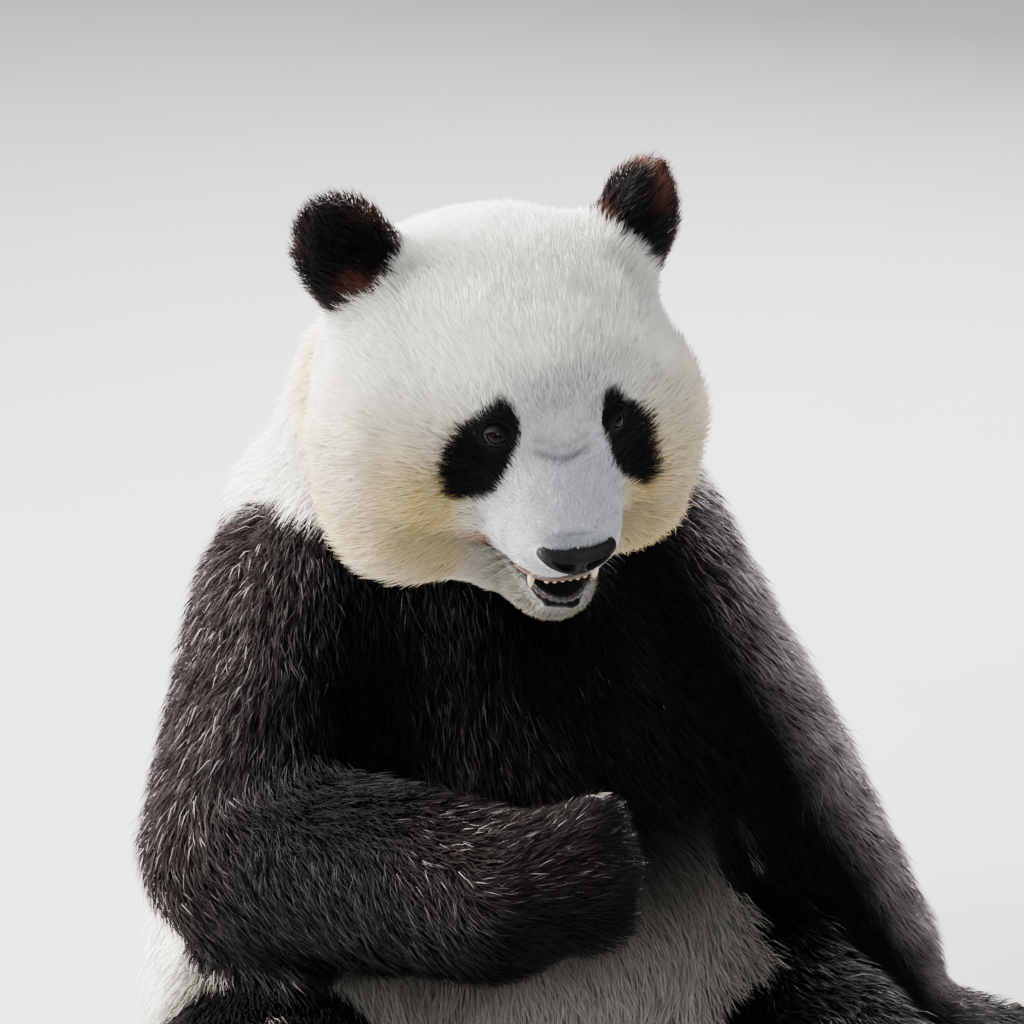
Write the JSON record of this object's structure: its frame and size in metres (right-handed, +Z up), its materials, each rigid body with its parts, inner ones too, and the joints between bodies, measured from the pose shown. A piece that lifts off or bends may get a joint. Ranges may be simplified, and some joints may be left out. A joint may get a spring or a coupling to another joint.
{
  "type": "giant panda",
  "caption": "Life-size still model of a giant panda sitting on its rump, a forepaw raised and half closed, the other on the floor, hind legs forward; museum display figure",
  "frame": {"origin": "the middle of the flat under the rump, on the floor", "axes": "+Z up, the chest faces -Y, the animal's left is +X"},
  "size_m": [1.0011, 0.961, 0.9838],
  "materials": {
    "white_coat": "dense creamy white fur, soft and matt",
    "black_coat": "dense black fur with a faint sheen and brown tips",
    "eye": "wet, dark brown",
    "nose_leather": "bare pebbled skin, slightly moist",
    "tongue": "moist pink flesh, also for the gums",
    "claw_horn": "polished horn; paler for the teeth"
  },
  "bodies": {
    "root": {"head": "white_coat", "jaw": "white_coat", "neck": "white_coat", "trunk": "white_coat", "tail": "white_coat", "thigh_right": "white_coat", "thigh_left": "white_coat", "chest": "black_coat", "ear_right": "black_coat", "ear_left": "black_coat", "upper_arm_right": "black_coat", "forearm_right": "black_coat", "forepaw_right": "black_coat", "shank_right": "black_coat", "hind_foot_right": "black_coat", "upper_arm_left": "black_coat", "forearm_left": "black_coat", "forepaw_left": "black_coat", "shank_left": "black_coat", "hind_foot_left": "black_coat", "eye_right": "eye", "eye_left": "eye", "nose": "nose_leather", "tongue": "tongue", "claw_forepaw_right1": "claw_horn", "claw_forepaw_right2": "claw_horn", "claw_forepaw_right3": "claw_horn", "claw_forepaw_right4": "claw_horn", "claw_forepaw_right5": "claw_horn", "claw_hind_foot_right1": "claw_horn", "claw_hind_foot_right2": "claw_horn", "claw_hind_foot_right3": "claw_horn", "claw_hind_foot_right4": "claw_horn", "claw_hind_foot_right5": "claw_horn", "claw_forepaw_left1": "claw_horn", "claw_forepaw_left2": "claw_horn", "claw_forepaw_left3": "claw_horn", "claw_forepaw_left4": "claw_horn", "claw_forepaw_left5": "claw_horn", "claw_hind_foot_left1": "claw_horn", "claw_hind_foot_left2": "claw_horn", "claw_hind_foot_left3": "claw_horn", "claw_hind_foot_left4": "claw_horn", "claw_hind_foot_left5": "claw_horn"}
  },
  "joints": []
}
